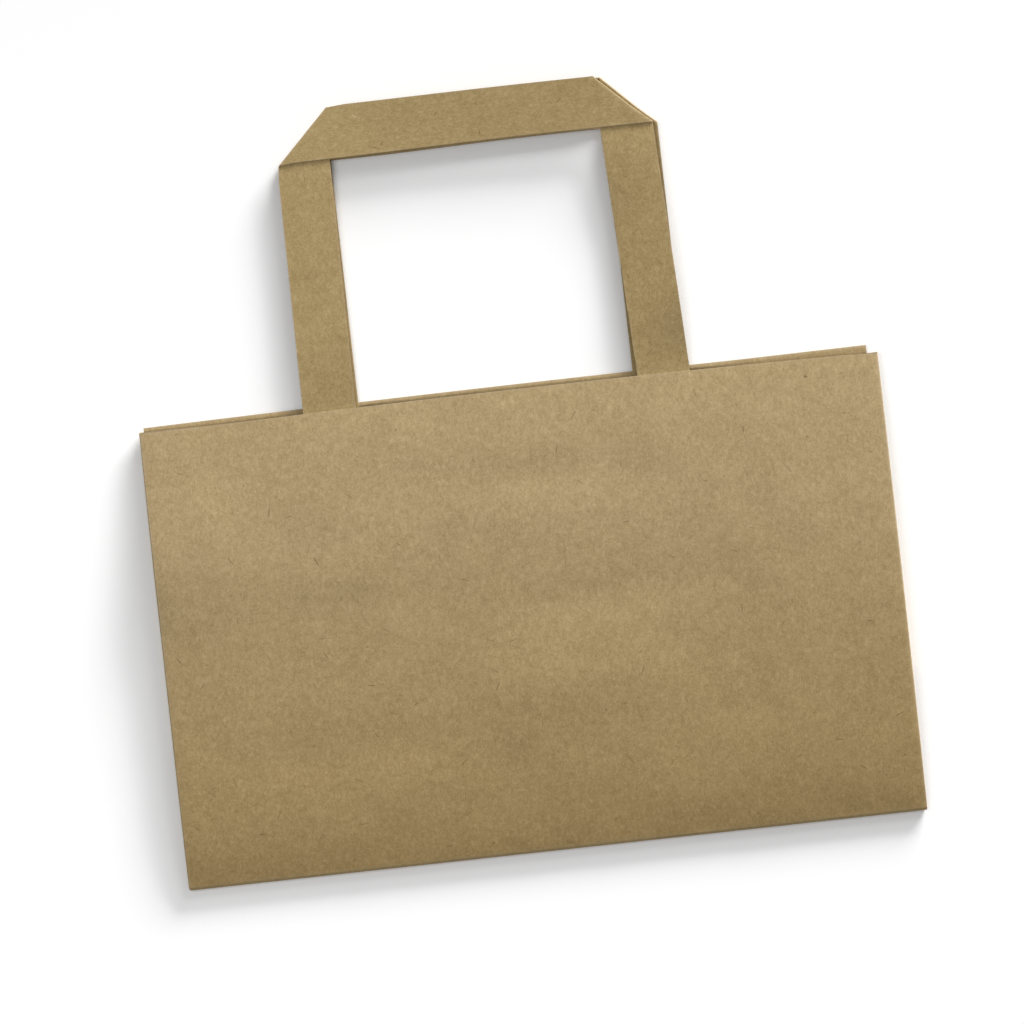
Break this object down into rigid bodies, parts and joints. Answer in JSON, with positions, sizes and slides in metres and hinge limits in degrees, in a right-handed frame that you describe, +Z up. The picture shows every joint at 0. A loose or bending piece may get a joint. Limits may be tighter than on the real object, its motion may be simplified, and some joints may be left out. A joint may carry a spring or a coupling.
{
  "type": "paper carrier bag",
  "caption": "Brown kraft paper carrier bag folded flat: gusseted block-bottom sheet with flat folded-tape handles glued inside its mouth under paper patches.",
  "frame": {"origin": "middle of the folded bag's outline, on the surface that it lies on", "axes": "+X across the panels to the right, +Y from the bottom fold up to the handles, +Z up out of the front panel"},
  "size_m": [0.32, 0.3294, 0.0055],
  "materials": {
    "kraft_sheet": "uncoated brown kraft, matt, fine fibres",
    "kraft_tape": "uncoated brown kraft tape, matt, slightly darker",
    "kraft_patch": "uncoated brown kraft, matt"
  },
  "bodies": {
    "root": {"bag_body": "kraft_sheet", "front_handle": "kraft_tape", "back_handle": "kraft_tape", "front_handle_patch": "kraft_patch", "back_handle_patch": "kraft_patch"}
  },
  "joints": []
}
